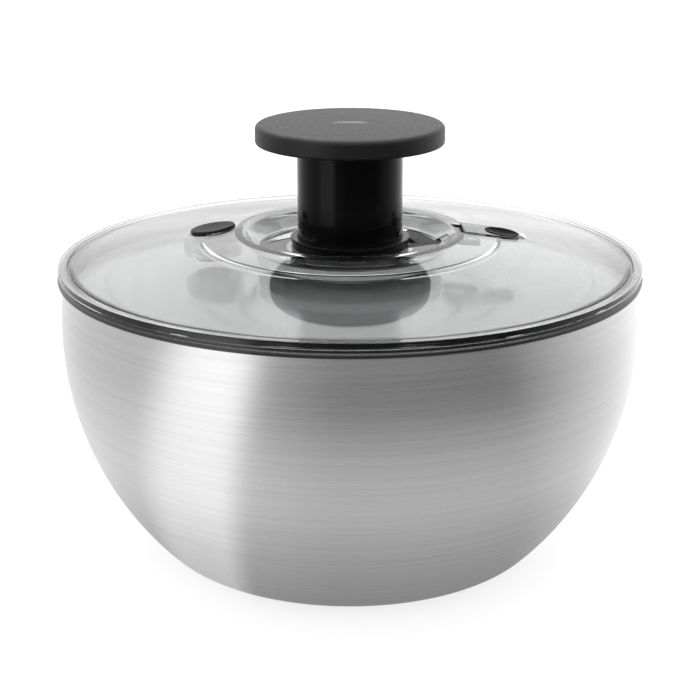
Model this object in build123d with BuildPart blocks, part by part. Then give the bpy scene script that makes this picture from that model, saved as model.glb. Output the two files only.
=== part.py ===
"""Hand-pumped salad spinner: steel bowl, slotted basket, clear domed lid, pump knob, brake and lock."""
import os
from math import acos, atan, cos, degrees, pi, radians, sin, tan

from build123d import *

os.makedirs("parts", exist_ok=True)

# ---- driving dimensions (mm), table at z = 0, spin axis on Z ----
BOWL_BASE_R = 75.5        # flat of the bowl base
BOWL_BASE_Z = 1.0         # underside of the base, above the foot ring
BOWL_CORNER_R = 23.4      # base corner radius
BOWL_CORNER_A = 45.8      # where the corner arc meets the side arc, degrees from level
BOWL_TOP_A = 99.4         # side arc ends past vertical, so the rim tucks in
BOWL_RIM_Z = 134.9
BOWL_T = 0.9
PIVOT_R = 5.0
PIVOT_Z = 8.0

BASKET_GAP = 8.0          # basket outside, inside the bowl outside
BASKET_T = 2.0
BASKET_RIM_Z = 128.0
BASKET_BARS = 36
BASKET_BAR_W = 3.6
BASKET_ROWS = 6
DRIVE_LUGS = 6

LID_R = 134.4
LID_TOP_Z = 140.9
LID_FOOT_Z = 138.0        # underside of the lid flange, on the seal
LID_T = 2.6
DOME_R = 129.0            # foot of the dome
DOME_FOOT_Z = 140.5
WELL_R = 51.24
WELL_TOP_Z = 153.96
WELL_FOOT_R = 42.0
WELL_FLOOR_Z = 146.5
DOME_SAG = 0.5
SEAL_R = 135.0
SEAL_Z = 134.3
RIB_R, RIB_T = 68.6, 2.0  # stiffening ring under the dome
RIB_Z = 146.4

TUBE_R = 24.3
TUBE_BORE_R = 20.5
COLLAR_R = 27.1
COLLAR_TOP_Z = 151.2
KEY_TOP_Z = 150.5
RUN_FIT = 0.06            # radial running clearance
HOUSING_BORE_R = 25.0
HOUSING_R = 27.5
HOUSING_FLOOR_Z = 84.6
NECK_R = 9.0
CUP_R = 30.3              # drive cup, round the pump housing
CUP_Z = 78.6
PARTING = 0.05            # parting line between the pieces of the drive disc
STROKE = 45.5             # knob travel
LEAD = 36.0               # spindle lead, mm per turn

KNOB_R = 43.35
KNOB_Z = 194.7
KNOB_EDGE_Z = 203.45
KNOB_TOP_Z = 203.9
SCREW_R, SCREWS = 22.4, 3 # screw circle, core to tube

NUT_Z = 142.0
NUT_H = 6.0
BAR_W, BAR_T = 11.0, 4.4  # twisted bar section
BAR_Z0, BAR_Z1 = 87.4, 149.5
NUT_GAP = 0.3

BRAKE_AZ, BRAKE_RAD = 172.0, 65.0
BUTTON_R = 10.35
BUTTON_Z = 145.4
GUIDE_FLOOR_Z = 140.4     # inside of the brake guide, where its spring stands
LOCK_AZ, LOCK_RAD = 4.0, 66.0
LOCK_HALF_W = 9.3
BOLT_Z0, BOLT_Z1 = 144.2, 146.4


def dome_z(r):
    """Height of the lid's outer surface at radius r."""
    half = (DOME_R - WELL_R) / 2
    rise = (WELL_TOP_Z - DOME_FOOT_Z) * (DOME_R - r) / (2 * half)
    return DOME_FOOT_Z + rise + DOME_SAG * (1 - ((r - WELL_R - half) / half) ** 2)


def dome_tilt(r):
    """Downward slope of the lid at radius r, degrees."""
    return degrees(atan((dome_z(r - 1) - dome_z(r + 1)) / 2))


def wall_points(offset, z_top):
    """Corner arc and side arc of the bowl, moved inward by offset and cut off at z_top."""
    a1, a2 = radians(BOWL_CORNER_A), radians(BOWL_TOP_A)
    c1 = (BOWL_BASE_R, BOWL_BASE_Z + BOWL_CORNER_R)
    z1 = c1[1] - BOWL_CORNER_R * cos(a1)
    side_r = (BOWL_RIM_Z - z1) / (cos(a1) - cos(a2))
    c2 = (c1[0] + (BOWL_CORNER_R - side_r) * sin(a1), z1 + side_r * cos(a1))
    rc, rs = BOWL_CORNER_R - offset, side_r - offset
    a_top = acos((c2[1] - z_top) / rs)

    def at(c, r, a):
        return (c[0] + r * sin(a), c[1] - r * cos(a))

    return [at(c1, rc, 0), at(c1, rc, a1 / 2), at(c1, rc, a1),
            at(c2, rs, (a1 + a_top) / 2), at(c2, rs, a_top)]


def wall_radius(offset, z):
    """Radius of the inward-offset wall at height z on the side arc."""
    return wall_points(offset, z)[-1][0]


def radial_plane(azimuth, radius, z, tilt=0.0):
    """Plane at a polar position: x outward and down the slope, z out of the surface."""
    a, t = radians(azimuth), radians(tilt)
    return Plane(origin=(radius * cos(a), radius * sin(a), z),
                 x_dir=(cos(a) * cos(t), sin(a) * cos(t), -sin(t)),
                 z_dir=(cos(a) * sin(t), sin(a) * sin(t), cos(t)))


lock_plane = radial_plane(LOCK_AZ, LOCK_RAD, dome_z(LOCK_RAD), dome_tilt(LOCK_RAD))
brake_top = radial_plane(BRAKE_AZ, BRAKE_RAD, dome_z(BRAKE_RAD) + 1.2, dome_tilt(BRAKE_RAD))
brake_at = (BRAKE_RAD * cos(radians(BRAKE_AZ)), BRAKE_RAD * sin(radians(BRAKE_AZ)))

# ================= bowl =================
with BuildPart() as bowl:
    outer = wall_points(0, BOWL_RIM_Z)
    inner = wall_points(BOWL_T, BOWL_RIM_Z)
    floor_z = BOWL_BASE_Z + BOWL_T
    with BuildSketch(Plane.XZ):
        with BuildLine():
            Polyline((0, PIVOT_Z - BOWL_T), (PIVOT_R - BOWL_T, PIVOT_Z - BOWL_T),
                     (PIVOT_R - BOWL_T, 5.6), (10.9, BOWL_BASE_Z), outer[0])
            ThreePointArc(outer[0], outer[1], outer[2])
            ThreePointArc(outer[2], outer[3], outer[4])
            Line(outer[4], inner[4])
            ThreePointArc(inner[4], inner[3], inner[2])
            ThreePointArc(inner[2], inner[1], inner[0])
            Polyline(inner[0], (11.6, floor_z), (PIVOT_R, 6.3), (PIVOT_R, PIVOT_Z),
                     (0, PIVOT_Z), (0, PIVOT_Z - BOWL_T))
        make_face()
    revolve(axis=Axis.Z)
    with BuildSketch(Plane.XZ):
        with Locations((outer[4][0] + 0.55, BOWL_RIM_Z)):
            Circle(1.1)
    revolve(axis=Axis.Z)
bowl.part.label = "bowl"
export_step(bowl.part, "parts/bowl.step")

with BuildPart() as foot_ring:
    with BuildSketch():
        Circle(74.5)
        Circle(61.0, mode=Mode.SUBTRACT)
    extrude(amount=BOWL_BASE_Z)
    chamfer(foot_ring.faces().sort_by(Axis.Z)[0].edges(), 0.3)
foot_ring.part.label = "foot_ring"
export_step(foot_ring.part, "parts/foot_ring.step")

# ================= basket =================
FLANGE_Z = BASKET_RIM_Z - 2.0
with BuildPart() as basket:
    outer = wall_points(BASKET_GAP, FLANGE_Z)
    inner = wall_points(BASKET_GAP + BASKET_T, FLANGE_Z)
    with BuildSketch(Plane.XZ):
        with BuildLine():
            Polyline((0, PIVOT_Z), (PIVOT_R + RUN_FIT, PIVOT_Z), (PIVOT_R + RUN_FIT, 6.6),
                     (9.0, 6.6), (9.0, outer[0][1]), outer[0])
            ThreePointArc(outer[0], outer[1], outer[2])
            ThreePointArc(outer[2], outer[3], outer[4])
            Polyline(outer[4], (outer[4][0] + 2.2, FLANGE_Z), (outer[4][0] + 2.2, BASKET_RIM_Z),
                     (inner[4][0], BASKET_RIM_Z), inner[4])
            ThreePointArc(inner[4], inner[3], inner[2])
            ThreePointArc(inner[2], inner[1], inner[0])
            Polyline(inner[0], (0, inner[0][1]), (0, PIVOT_Z))
        make_face()
    revolve(axis=Axis.Z)
    # windows between the upright bars, in level rows
    row_z0, row_z1 = 26.0, 119.0
    pitch = (row_z1 - row_z0) / BASKET_ROWS
    for row in range(BASKET_ROWS):
        z_mid = row_z0 + pitch * (row + 0.5)
        r_mid = wall_radius(BASKET_GAP + 1.0, z_mid)
        width = 2 * pi * r_mid / BASKET_BARS - BASKET_BAR_W
        with Locations((0, 0, z_mid)):
            with PolarLocations(r_mid, BASKET_BARS, start_angle=180 / BASKET_BARS):
                Box(14, width, pitch - 2.4, mode=Mode.SUBTRACT)
    # radial drain slots in the floor
    for r_mid, count, length in ((20, 8, 12), (38, 16, 14), (60, 24, 18)):
        with Locations((0, 0, outer[0][1] + 1)):
            with PolarLocations(r_mid, count):
                Box(length, 3.0, 6.0, mode=Mode.SUBTRACT)
    # rim notches for the drive lugs
    with Locations((0, 0, BASKET_RIM_Z - 3)):
        with PolarLocations(124, DRIVE_LUGS, start_angle=30):
            Box(12, 8.0, 6.2, mode=Mode.SUBTRACT)
basket.part.label = "basket"
export_step(basket.part, "parts/basket.step")

# ================= lid =================
with BuildPart() as lid_shell:
    mid_r = (DOME_R + WELL_R) / 2
    under_z = WELL_FLOOR_Z - LID_T
    with BuildSketch(Plane.XZ):
        with BuildLine():
            Polyline((COLLAR_R + 0.06, under_z), (COLLAR_R + 0.06, WELL_FLOOR_Z),
                     (WELL_FOOT_R - 0.6, WELL_FLOOR_Z), (WELL_FOOT_R + 0.4, WELL_FLOOR_Z + 0.5),
                     (WELL_R - 2.6, WELL_TOP_Z - 0.8), (WELL_R - 1.2, WELL_TOP_Z - 0.1),
                     (WELL_R + 1.2, dome_z(WELL_R + 1.2)))
            ThreePointArc((WELL_R + 1.2, dome_z(WELL_R + 1.2)), (mid_r, dome_z(mid_r)),
                          (DOME_R, dome_z(DOME_R)))
            Polyline((DOME_R, dome_z(DOME_R)), (129.3, 140.0), (130.1, 140.0), (130.4, LID_TOP_Z),
                     (LID_R - 0.4, LID_TOP_Z), (LID_R, LID_TOP_Z - 0.4), (LID_R, LID_FOOT_Z),
                     (127.4, LID_FOOT_Z))
            ThreePointArc((127.4, LID_FOOT_Z), (mid_r, dome_z(mid_r) - LID_T),
                          (WELL_R + 1.9, dome_z(WELL_R + 1.9) - LID_T))
            Polyline((WELL_R + 1.9, dome_z(WELL_R + 1.9) - LID_T), (WELL_FOOT_R + 2.3, under_z),
                     (COLLAR_R + 0.06, under_z))
        make_face()
    revolve(axis=Axis.Z)
    # stiffening ring under the dome
    with BuildSketch(Plane.XY.offset(RIB_Z)):
        Circle(RIB_R + RIB_T / 2)
        Circle(RIB_R - RIB_T / 2, mode=Mode.SUBTRACT)
    extrude(amount=dome_z(RIB_R) - LID_T / 2 - RIB_Z)
    with BuildSketch(lock_plane.offset(-9.0)):
        with Locations((5.0, 0)):
            Rectangle(20, 13)
    extrude(amount=9.0 - LID_T, mode=Mode.SUBTRACT)
    # brake guide: hanging tube with a drilled bottom
    with Locations((*brake_at, 138.8)):
        Cylinder(13.4, 10.8, align=(Align.CENTER, Align.CENTER, Align.MIN))
    with Locations((*brake_at, GUIDE_FLOOR_Z)):
        Cylinder(11.6, 7.2, align=(Align.CENTER, Align.CENTER, Align.MIN), mode=Mode.SUBTRACT)
        Cylinder(BUTTON_R + 0.35, 16, align=(Align.CENTER, Align.CENTER, Align.MIN),
                 mode=Mode.SUBTRACT)
    with Locations((*brake_at, 139.6)):
        Cylinder(5.0 + RUN_FIT, 4, mode=Mode.SUBTRACT)
    # lock tray, open towards the well
    with BuildSketch(lock_plane.offset(-1.3)):
        with Locations((-6.2, 0)):
            Rectangle(27, 2 * LOCK_HALF_W + 0.8)
        with Locations((7.3, 0)):
            Circle(LOCK_HALF_W + 0.4)
    extrude(amount=6, mode=Mode.SUBTRACT)
    # slots for the two slider legs
    with BuildSketch(lock_plane.offset(-8)):
        with Locations((-10.2, 0)):
            Rectangle(8.2, 5.8)
        with Locations((6.0, 0)):
            Rectangle(6.8, 5.8)
    extrude(amount=7, mode=Mode.SUBTRACT)
    # channel for the bolt through the floor and the foot of the well
    with BuildSketch(Plane.XY.offset(under_z - 0.1)):
        Polygon((25.5, 2.9), (28.2, 4.5), (37.2, 9.95), (50.5, 10.5), (50.5, 1.4), (43.4, 3.3),
                (30.4, -3.4), (27.4, -5.2), (25.5, -5.2), align=None)
    extrude(amount=3.7, mode=Mode.SUBTRACT)
    # window in the well floor that the bolt's plate slides in
    with BuildSketch(Plane.XY.offset(under_z - 0.1)):
        Circle(41.4)
        Circle(26.9, mode=Mode.SUBTRACT)
        with BuildSketch(mode=Mode.INTERSECT):
            Polygon((0, 0), (60, 60 * tan(radians(5))), (60, 60 * tan(radians(53))), align=None)
    extrude(amount=3.7, mode=Mode.SUBTRACT)
lid_shell.part.label = "lid_shell"
export_step(lid_shell.part, "parts/lid_shell.step")

with BuildPart() as rim_seal:
    with BuildSketch(Plane.XZ):
        # web under the flange, a recess, then a bead that bulges over the bowl's rim
        Polygon((131.2, BOWL_RIM_Z + 1.1), (133.8, BOWL_RIM_Z + 1.1), (133.8, SEAL_Z),
                (134.3, SEAL_Z), (134.85, SEAL_Z + 0.4), (SEAL_R, SEAL_Z + 1.1),
                (134.75, SEAL_Z + 1.8), (134.0, SEAL_Z + 2.2), (133.9, LID_FOOT_Z),
                (131.2, LID_FOOT_Z), align=None)
    revolve(axis=Axis.Z)
rim_seal.part.label = "rim_seal"
export_step(rim_seal.part, "parts/rim_seal.step")

with BuildPart() as guide_collar:
    bore = TUBE_R + RUN_FIT
    with BuildSketch(Plane.XZ):
        Polygon((bore, 141.9), (29.5, 141.9), (29.5, 143.9), (COLLAR_R, 143.9),
                (COLLAR_R, COLLAR_TOP_Z - 2.2), (COLLAR_R + 0.4, COLLAR_TOP_Z - 1.8),
                (COLLAR_R + 0.4, COLLAR_TOP_Z - 0.6), (COLLAR_R - 0.2, COLLAR_TOP_Z),
                (bore + 0.5, COLLAR_TOP_Z), (bore, COLLAR_TOP_Z - 0.5), align=None)
    revolve(axis=Axis.Z)
    # key for the plunger's groove
    with Locations((0, TUBE_R, KEY_TOP_Z)):
        Box(3.0, 1.2, 5.0, align=(Align.CENTER, Align.CENTER, Align.MAX))
    # window that the bolt slides through
    with BuildSketch(Plane.XY.offset(143.9)):
        Polygon((21.5, 1.0), (23.4, 1.6), (25.0, 2.8), (29.6, 5.5), (29.6, -5.3), (21.5, -5.3),
                align=None)
    extrude(amount=3.5, mode=Mode.SUBTRACT)
guide_collar.part.label = "guide_collar"
export_step(guide_collar.part, "parts/guide_collar.step")

with BuildPart() as pump_housing:
    with BuildSketch(Plane.XZ):
        Polygon((5.0, 74.0), (NECK_R, 74.0), (NECK_R, 76.8), (8.0, 76.8), (8.0, 78.2),
                (NECK_R, 78.2), (NECK_R, 82.0), (HOUSING_R - 2, 82.0), (HOUSING_R, 84.0),
                (HOUSING_R, 137.4), (HOUSING_R + 2, 139.4), (43.0, 139.4), (43.0, 143.9),
                (29.6, 143.9), (29.6, 141.9), (HOUSING_BORE_R, 141.9),
                (HOUSING_BORE_R, HOUSING_FLOOR_Z), (5.0, HOUSING_FLOOR_Z), align=None)
    revolve(axis=Axis.Z)
pump_housing.part.label = "pump_housing"
export_step(pump_housing.part, "parts/pump_housing.step")

with BuildPart() as spindle_bush:
    with BuildSketch(Plane.XZ):
        Polygon((3.6, 74.0), (4.98, 74.0), (4.98, HOUSING_FLOOR_Z), (7.0, HOUSING_FLOOR_Z),
                (7.0, 85.8), (3.6, 85.8), align=None)
    revolve(axis=Axis.Z)
spindle_bush.part.label = "spindle_bush"
export_step(spindle_bush.part, "parts/spindle_bush.step")

with BuildPart() as hub_snap_ring:
    with BuildSketch(Plane.XY.offset(76.9)):
        Circle(11.5)
        Circle(8.02, mode=Mode.SUBTRACT)
        with Locations((10, 0)):
            Rectangle(8, 5, mode=Mode.SUBTRACT)
    extrude(amount=1.2)
hub_snap_ring.part.label = "hub_snap_ring"
export_step(hub_snap_ring.part, "parts/hub_snap_ring.step")

with BuildPart() as return_spring:
    wire_r, coil_r = 0.6, 11.0
    z0, z1 = HOUSING_FLOOR_Z + wire_r + 0.03, NUT_Z - wire_r - 0.03
    with BuildLine() as coil:
        Helix(pitch=(z1 - z0) / 8, height=z1 - z0, radius=coil_r, center=(0, 0, z0))
    with BuildSketch(Plane(origin=coil.line @ 0, z_dir=coil.line % 0)):
        Circle(wire_r)
    sweep(is_frenet=True)
return_spring.part.label = "return_spring"
export_step(return_spring.part, "parts/return_spring.step")

with BuildPart() as brake_spring:
    wire_r, coil_r = 0.35, 8.0
    z0, z1 = GUIDE_FLOOR_Z + wire_r + 0.03, BUTTON_Z - wire_r - 0.03
    with BuildLine() as coil:
        Helix(pitch=(z1 - z0) / 2.5, height=z1 - z0, radius=coil_r, center=(*brake_at, z0))
    with BuildSketch(Plane(origin=coil.line @ 0, z_dir=coil.line % 0)):
        Circle(wire_r)
    sweep(is_frenet=True)
brake_spring.part.label = "brake_spring"
export_step(brake_spring.part, "parts/brake_spring.step")

# ================= knob and plunger =================
with BuildPart() as plunger_tube:
    top_z = 199.8
    with BuildSketch(Plane.XZ):
        Polygon((22.3, 136.0), (TUBE_R - 0.6, 136.0), (TUBE_R, 136.6), (TUBE_R, top_z),
                (TUBE_BORE_R, top_z), (TUBE_BORE_R, NUT_Z + NUT_H), (22.3, NUT_Z + NUT_H),
                align=None)
    revolve(axis=Axis.Z)
    # key groove at the back, up to just under the knob
    with Locations((0, TUBE_R, KEY_TOP_Z + STROKE + 0.8)):
        Box(3.7, 2.0, 65, align=(Align.CENTER, Align.CENTER, Align.MAX), mode=Mode.SUBTRACT)
    # pockets that take the bolt with the knob up and with the knob down
    for z_low in (143.9, 143.9 + STROKE):
        with Locations((23.05, -1.8, z_low)):
            Box(4, 7.4, 3.4, align=(Align.MIN, Align.CENTER, Align.MIN), mode=Mode.SUBTRACT)
    with Locations((0, 0, top_z)):
        with PolarLocations(SCREW_R, SCREWS, start_angle=60):
            Cylinder(1.02, 19, mode=Mode.SUBTRACT)
plunger_tube.part.label = "plunger_tube"
export_step(plunger_tube.part, "parts/plunger_tube.step")

with BuildPart() as knob_core:
    with BuildSketch(Plane.XZ):
        Polygon((0, 199.8), (16.0, 199.8), (16.0, 197.2), (20.4, 197.2), (20.4, 199.8),
                (38.0, 199.8), (38.0, 196.0), (40.4, 196.0), (40.4, 201.6), (0, 201.6), align=None)
    revolve(axis=Axis.Z)
    with Locations((0, 0, 200)):
        with PolarLocations(SCREW_R, SCREWS, start_angle=60):
            Cylinder(1.02, 5, mode=Mode.SUBTRACT)
    with Locations((0, 0, 200.6)):
        with PolarLocations(SCREW_R, SCREWS, start_angle=60):
            Cylinder(2.3, 2, align=(Align.CENTER, Align.CENTER, Align.MIN), mode=Mode.SUBTRACT)
    # stiffening ribs
    with Locations((0, 0, 198.9)):
        with PolarLocations(32.0, 12):
            Box(12.0, 1.6, 1.9)
knob_core.part.label = "knob_core"
export_step(knob_core.part, "parts/knob_core.step")

with BuildPart() as knob_pad:
    with BuildSketch(Plane.XZ):
        with BuildLine():
            Polyline((0, 201.6), (40.42, 201.6), (40.42, KNOB_Z), (KNOB_R - 0.8, KNOB_Z),
                     (KNOB_R, KNOB_Z + 0.8), (KNOB_R, KNOB_EDGE_Z - 2.2))
            RadiusArc((KNOB_R, KNOB_EDGE_Z - 2.2), (KNOB_R - 2.2, KNOB_EDGE_Z), -2.3)
            ThreePointArc((KNOB_R - 2.2, KNOB_EDGE_Z),
                          (KNOB_R / 2, KNOB_EDGE_Z + 0.75 * (KNOB_TOP_Z - KNOB_EDGE_Z)),
                          (0, KNOB_TOP_Z))
            Line((0, KNOB_TOP_Z), (0, 201.6))
        make_face()
    revolve(axis=Axis.Z)
    with BuildSketch(Plane.XY.offset(KNOB_TOP_Z - 0.7)):
        Ellipse(8.5, 3.8)
    extrude(amount=2, mode=Mode.SUBTRACT)
knob_pad.part.label = "knob_pad"
export_step(knob_pad.part, "parts/knob_pad.step")

with BuildPart() as knob_badge:
    with BuildSketch(Plane.XY.offset(KNOB_TOP_Z - 0.7)):
        Ellipse(8.45, 3.75)
    extrude(amount=0.8)
knob_badge.part.label = "knob_badge"
export_step(knob_badge.part, "parts/knob_badge.step")

with BuildPart() as knob_screws:
    with Locations((0, 0, 191.0)):
        with PolarLocations(SCREW_R, SCREWS, start_angle=60):
            Cylinder(1.0, 9.6, align=(Align.CENTER, Align.CENTER, Align.MIN))
    with Locations((0, 0, 200.6)):
        with PolarLocations(SCREW_R, SCREWS, start_angle=60):
            Cylinder(2.1, 0.95, align=(Align.CENTER, Align.CENTER, Align.MIN))
knob_screws.part.label = "knob_screws"
export_step(knob_screws.part, "parts/knob_screws.step")


def bar_phase(z):
    """Turn of the twisted bar at height z, degrees."""
    return 360.0 * (z - BAR_Z0) / LEAD


with BuildPart() as helix_nut:
    with BuildSketch(Plane.XY.offset(NUT_Z)):
        Circle(22.28)
    extrude(amount=NUT_H)
    steps = 8
    for i in range(steps + 1):
        z = NUT_Z - 0.5 + (NUT_H + 1) * i / steps
        with BuildSketch(Plane.XY.offset(z).rotated((0, 0, bar_phase(z)))):
            Rectangle(BAR_W + 2 * NUT_GAP, BAR_T + 2 * NUT_GAP)
    loft(mode=Mode.SUBTRACT)
helix_nut.part.label = "helix_nut"
export_step(helix_nut.part, "parts/helix_nut.step")

with BuildPart() as nut_ring:
    with BuildSketch(Plane.XY.offset(NUT_Z - 1.5)):
        Circle(22.28)
        Circle(18.0, mode=Mode.SUBTRACT)
        with Locations((0, -21)):
            Rectangle(6, 8, mode=Mode.SUBTRACT)
    extrude(amount=1.5)
nut_ring.part.label = "nut_ring"
export_step(nut_ring.part, "parts/nut_ring.step")

# ================= spindle =================
with BuildPart() as drive_spindle:
    with BuildSketch(Plane.XZ):
        Polygon((0, 66.6), (3.0, 66.6), (3.55, 67.1), (3.55, 67.6), (3.0, 67.6), (3.0, 68.9),
                (3.55, 68.9), (3.55, 85.8), (7.0, 85.8), (7.0, BAR_Z0), (0, BAR_Z0), align=None)
    revolve(axis=Axis.Z)
    steps = 42
    for i in range(steps + 1):
        z = BAR_Z0 + (BAR_Z1 - BAR_Z0) * i / steps
        with BuildSketch(Plane.XY.offset(z).rotated((0, 0, bar_phase(z)))):
            Rectangle(BAR_W, BAR_T)
    loft()
drive_spindle.part.label = "drive_spindle"
export_step(drive_spindle.part, "parts/drive_spindle.step")

with BuildPart() as clutch_driver:
    with BuildSketch(Plane.XY.offset(69.0)):
        Circle(12.0)
        Circle(3.57, mode=Mode.SUBTRACT)
    extrude(amount=4.4)
    with Locations((0, 0, 68.2)):
        with PolarLocations(9.4, 12):
            Box(4.0, 2.0, 2.0)
clutch_driver.part.label = "clutch_driver"
export_step(clutch_driver.part, "parts/clutch_driver.step")

with BuildPart() as driver_clip:
    with BuildSketch(Plane.XY.offset(67.7)):
        Circle(5.6)
        Circle(3.02, mode=Mode.SUBTRACT)
        with Locations((4, 0)):
            Rectangle(8, 3.6, mode=Mode.SUBTRACT)
    extrude(amount=1.1)
driver_clip.part.label = "driver_clip"
export_step(driver_clip.part, "parts/driver_clip.step")

# ================= drive disc =================
with BuildPart() as drive_disc:
    with BuildSketch(Plane.XZ):
        Polygon((CUP_R + PARTING, 132.6), (112.0, 129.6), (112.0, 131.4), (CUP_R + PARTING, 134.4),
                align=None)
    revolve(axis=Axis.Z)
drive_disc.part.label = "drive_disc"
export_step(drive_disc.part, "parts/drive_disc.step")

with BuildPart() as drive_ring:
    with BuildSketch(Plane.XZ):
        Polygon((112.0 + PARTING, 129.5), (113.6, BASKET_RIM_Z), (126.4, BASKET_RIM_Z), (126.4, 130.2),
                (125.6, 131.0), (112.0 + PARTING, 131.4), align=None)
    revolve(axis=Axis.Z)
    # lugs that drop into the basket rim
    with Locations((0, 0, 123.2)):
        with PolarLocations(122.6, DRIVE_LUGS, start_angle=30):
            Box(6.4, 7.2, 5.2, align=(Align.CENTER, Align.CENTER, Align.MIN))
drive_ring.part.label = "drive_ring"
export_step(drive_ring.part, "parts/drive_ring.step")

with BuildPart() as drive_cup:
    with BuildSketch(Plane.XZ):
        Polygon((NECK_R + RUN_FIT, CUP_Z), (CUP_R - 2, CUP_Z), (CUP_R, CUP_Z + 2), (CUP_R, 134.4),
                (CUP_R - 2, 134.4), (CUP_R - 2, 81.7), (NECK_R + RUN_FIT, 81.7), align=None)
    revolve(axis=Axis.Z)
drive_cup.part.label = "drive_cup"
export_step(drive_cup.part, "parts/drive_cup.step")

with BuildPart() as clutch_barrel:
    with BuildSketch(Plane.XZ):
        Polygon((13.0, CUP_Z), (13.0, 62.4), (11.0, 62.4), (11.0, 60.0), (15.4, 60.0),
                (15.4, CUP_Z), align=None)
    revolve(axis=Axis.Z)
clutch_barrel.part.label = "clutch_barrel"
export_step(clutch_barrel.part, "parts/clutch_barrel.step")

with BuildPart() as clutch_ring:
    with BuildSketch(Plane.XY.offset(62.4)):
        Circle(12.98)
        Circle(6.5, mode=Mode.SUBTRACT)
    extrude(amount=2.4)
    with Locations((0, 0, 65.6)):
        with PolarLocations(9.4, 12, start_angle=15):
            Box(4.0, 2.0, 2.0)
clutch_ring.part.label = "clutch_ring"
export_step(clutch_ring.part, "parts/clutch_ring.step")

with BuildPart() as hub_cap:
    with BuildSketch(Plane.XZ):
        Polygon((0, 58.4), (14.8, 58.4), (15.4, 59.0), (15.4, 60.0), (10.94, 60.0),
                (10.94, 61.6), (0, 61.6), align=None)
    revolve(axis=Axis.Z)
hub_cap.part.label = "hub_cap"
export_step(hub_cap.part, "parts/hub_cap.step")

# ================= brake =================
with BuildPart() as brake_button:
    with Locations((*brake_at, BUTTON_Z)):
        Cylinder(BUTTON_R, 12, align=(Align.CENTER, Align.CENTER, Align.MIN))
        Cylinder(11.25, 1.8, align=(Align.CENTER, Align.CENTER, Align.MIN))
    split(bisect_by=brake_top, keep=Keep.BOTTOM)
    chamfer(brake_button.faces().sort_by(Axis.Z)[-1].edges(), 0.5)
    with Locations(brake_top):
        with Locations((0, 0, 29.3)):
            Sphere(30.0, mode=Mode.SUBTRACT)
brake_button.part.label = "brake_button"
export_step(brake_button.part, "parts/brake_button.step")

with BuildPart() as brake_stem:
    with Locations((*brake_at, 138.4)):
        Cylinder(5.0, 7.0, align=(Align.CENTER, Align.CENTER, Align.MIN))
brake_stem.part.label = "brake_stem"
export_step(brake_stem.part, "parts/brake_stem.step")

with BuildPart() as brake_pad:
    with Locations((*brake_at, 132.0)):
        Cylinder(8.0, 6.4, align=(Align.CENTER, Align.CENTER, Align.MIN))
    split(bisect_by=radial_plane(BRAKE_AZ, BRAKE_RAD, 136.5, 2.1), keep=Keep.TOP)
brake_pad.part.label = "brake_pad"
export_step(brake_pad.part, "parts/brake_pad.step")

# ================= knob lock =================
with BuildPart() as lock_slider:
    with BuildSketch(lock_plane.offset(-1.0)):
        with Locations((-4.7, 0)):
            Rectangle(18.0, 2 * LOCK_HALF_W)
        with Locations((4.3, 0)):
            Circle(LOCK_HALF_W)
    extrude(amount=1.5)
    chamfer(lock_slider.faces().sort_by(Axis.Z)[-1].edges(), 0.25)
    with BuildSketch(lock_plane.offset(-0.3)):
        with Locations((5.0, 0)):
            Circle(8.12)
    extrude(amount=3, mode=Mode.SUBTRACT)
    with BuildSketch(lock_plane.offset(-9.0)):
        with Locations((-8.5, 0)):
            Rectangle(4.0, 5.0)
    extrude(amount=8.0)
    with BuildSketch(lock_plane.offset(-4.4)):
        with Locations((7.5, 0)):
            Rectangle(3.0, 5.0)
    extrude(amount=3.4)
    split(bisect_by=Plane.XY.offset(BOLT_Z1), keep=Keep.TOP)
lock_slider.part.label = "lock_slider"
export_step(lock_slider.part, "parts/lock_slider.step")

with BuildPart() as lock_finger_pad:
    with BuildSketch(lock_plane.offset(-0.3)):
        with Locations((5.0, 0)):
            Circle(8.1)
    extrude(amount=1.0)
    with Locations(lock_plane):
        with Locations((5.0, 0, 40.1)):
            Sphere(40.0, mode=Mode.SUBTRACT)
lock_finger_pad.part.label = "lock_finger_pad"
export_step(lock_finger_pad.part, "parts/lock_finger_pad.step")

with BuildPart() as lock_bolt:
    with BuildSketch(Plane.XY.offset(BOLT_Z0)):
        Polygon((26.4, 1.2), (28.2, 2.4), (40.6, 9.6), (47.5, 9.9), (60.5, 7.4), (60.5, 1.0),
                (46.5, 4.1), (43.2, 4.3), (30.2, -2.8), (26.4, -4.4), align=None)
        # broad plate beside the bar
        with BuildSketch():
            Circle(40.8)
            Circle(31.2, mode=Mode.SUBTRACT)
            with BuildSketch(mode=Mode.INTERSECT):
                Polygon((0, 0), (60, 60 * tan(radians(9))), (60, 60 * tan(radians(47))), align=None)
    extrude(amount=BOLT_Z1 - BOLT_Z0)
lock_bolt.part.label = "lock_bolt"
export_step(lock_bolt.part, "parts/lock_bolt.step")

with BuildPart() as lock_clip:
    with BuildSketch(lock_plane.offset(-4.2)):
        with Locations((7.5, 0)):
            Rectangle(9.0, 10.0)
            Rectangle(3.04, 5.04, mode=Mode.SUBTRACT)
    extrude(amount=1.2)
lock_clip.part.label = "lock_clip"
export_step(lock_clip.part, "parts/lock_clip.step")
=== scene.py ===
"""Looks of a hand-pumped salad spinner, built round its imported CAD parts."""

import math
from math import cos, pi, radians, sin

import bmesh
import bpy
from mathutils import Matrix, Vector


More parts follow.
